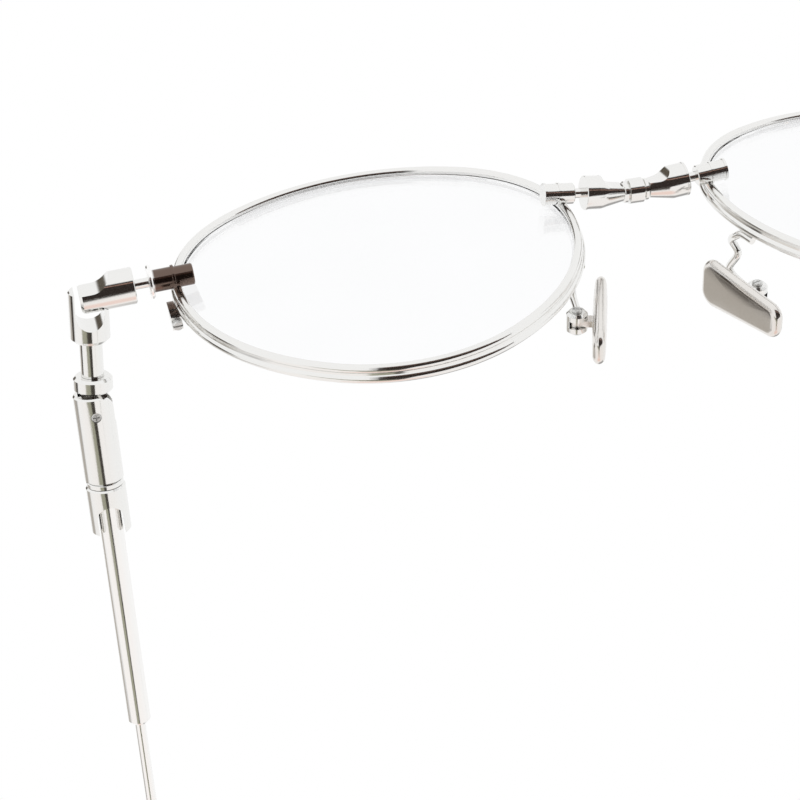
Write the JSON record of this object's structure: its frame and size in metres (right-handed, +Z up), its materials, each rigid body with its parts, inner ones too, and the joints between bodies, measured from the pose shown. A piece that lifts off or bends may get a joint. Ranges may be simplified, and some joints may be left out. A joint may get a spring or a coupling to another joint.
{
  "type": "round eyeglasses",
  "caption": "Round wire-rimmed eyeglasses with turned metal bridge and end pieces, folding bar temples and metal nose pads.",
  "frame": {"origin": "middle of the footprint, on the surface the open glasses stand on", "axes": "+X to the wearer's left, +Y from the lenses back along the temples, +Z up"},
  "size_m": [0.1386, 0.1544, 0.0478],
  "materials": {
    "frame_silver": "polished silver plate, mirror bright",
    "bar_metal": "polished, slightly softer than the joints",
    "screw_steel": "bright steel screw",
    "pad_metal": "polished metal pad",
    "lens": "clear, colourless, lightly coated"
  },
  "bodies": {
    "front": {"bridge_spool": "frame_silver", "left_rim": "frame_silver", "right_rim": "frame_silver", "left_lens": "lens", "right_lens": "lens", "left_closing_block": "frame_silver", "right_closing_block": "frame_silver", "left_closing_screw": "screw_steel", "right_closing_screw": "screw_steel", "left_bridge_link": "frame_silver", "right_bridge_link": "frame_silver", "left_bridge_rod": "frame_silver", "right_bridge_rod": "frame_silver", "left_bridge_sleeve": "frame_silver", "right_bridge_sleeve": "frame_silver", "left_end_sleeve": "frame_silver", "right_end_sleeve": "frame_silver", "left_end_rod": "frame_silver", "right_end_rod": "frame_silver", "left_end_knuckle": "frame_silver", "right_end_knuckle": "frame_silver", "left_temple_fork": "frame_silver", "right_temple_fork": "frame_silver", "left_fork_neck": "frame_silver", "right_fork_neck": "frame_silver", "left_hinge_collar": "frame_silver", "right_hinge_collar": "frame_silver", "left_hinge_tongue": "frame_silver", "right_hinge_tongue": "frame_silver", "left_pad_arm": "frame_silver", "right_pad_arm": "frame_silver", "left_pad_box": "frame_silver", "right_pad_box": "frame_silver", "left_pad_screw": "screw_steel", "right_pad_screw": "screw_steel"},
    "left_temple": {"left_temple_barrel": "frame_silver", "left_hinge_screw": "screw_steel", "left_temple_ring": "frame_silver", "left_prong_sleeve": "frame_silver", "left_temple_bar": "bar_metal", "left_temple_rod": "bar_metal", "left_ear_tip": "bar_metal"},
    "right_temple": {"right_temple_barrel": "frame_silver", "right_hinge_screw": "screw_steel", "right_temple_ring": "frame_silver", "right_prong_sleeve": "frame_silver", "right_temple_bar": "bar_metal", "right_temple_rod": "bar_metal", "right_ear_tip": "bar_metal"},
    "left_pad": {"left_pad_tab": "frame_silver", "left_nose_pad": "pad_metal"},
    "right_pad": {"right_pad_tab": "frame_silver", "right_nose_pad": "pad_metal"}
  },
  "joints": [
    {"name": "left_temple_fold", "type": "hinge", "parent": "front", "child": "left_temple", "pos_m": [0.06692, -0.05773, 0.02777], "axis": [0, 0, 1], "range_deg": [0, 82]},
    {"name": "right_temple_fold", "type": "hinge", "parent": "front", "child": "right_temple", "pos_m": [-0.06692, -0.05773, 0.02777], "axis": [0, 0, 1], "range_deg": [-90, 0]},
    {"name": "left_pad_rock", "type": "hinge", "parent": "front", "child": "left_pad", "pos_m": [0.01101, -0.06364, 0.01837], "axis": [0, 0.9816, 0.1908], "range_deg": [-12, 12]},
    {"name": "right_pad_rock", "type": "hinge", "parent": "front", "child": "right_pad", "pos_m": [-0.01101, -0.06364, 0.01837], "axis": [0, 0.9816, 0.1908], "range_deg": [-12, 12]}
  ]
}
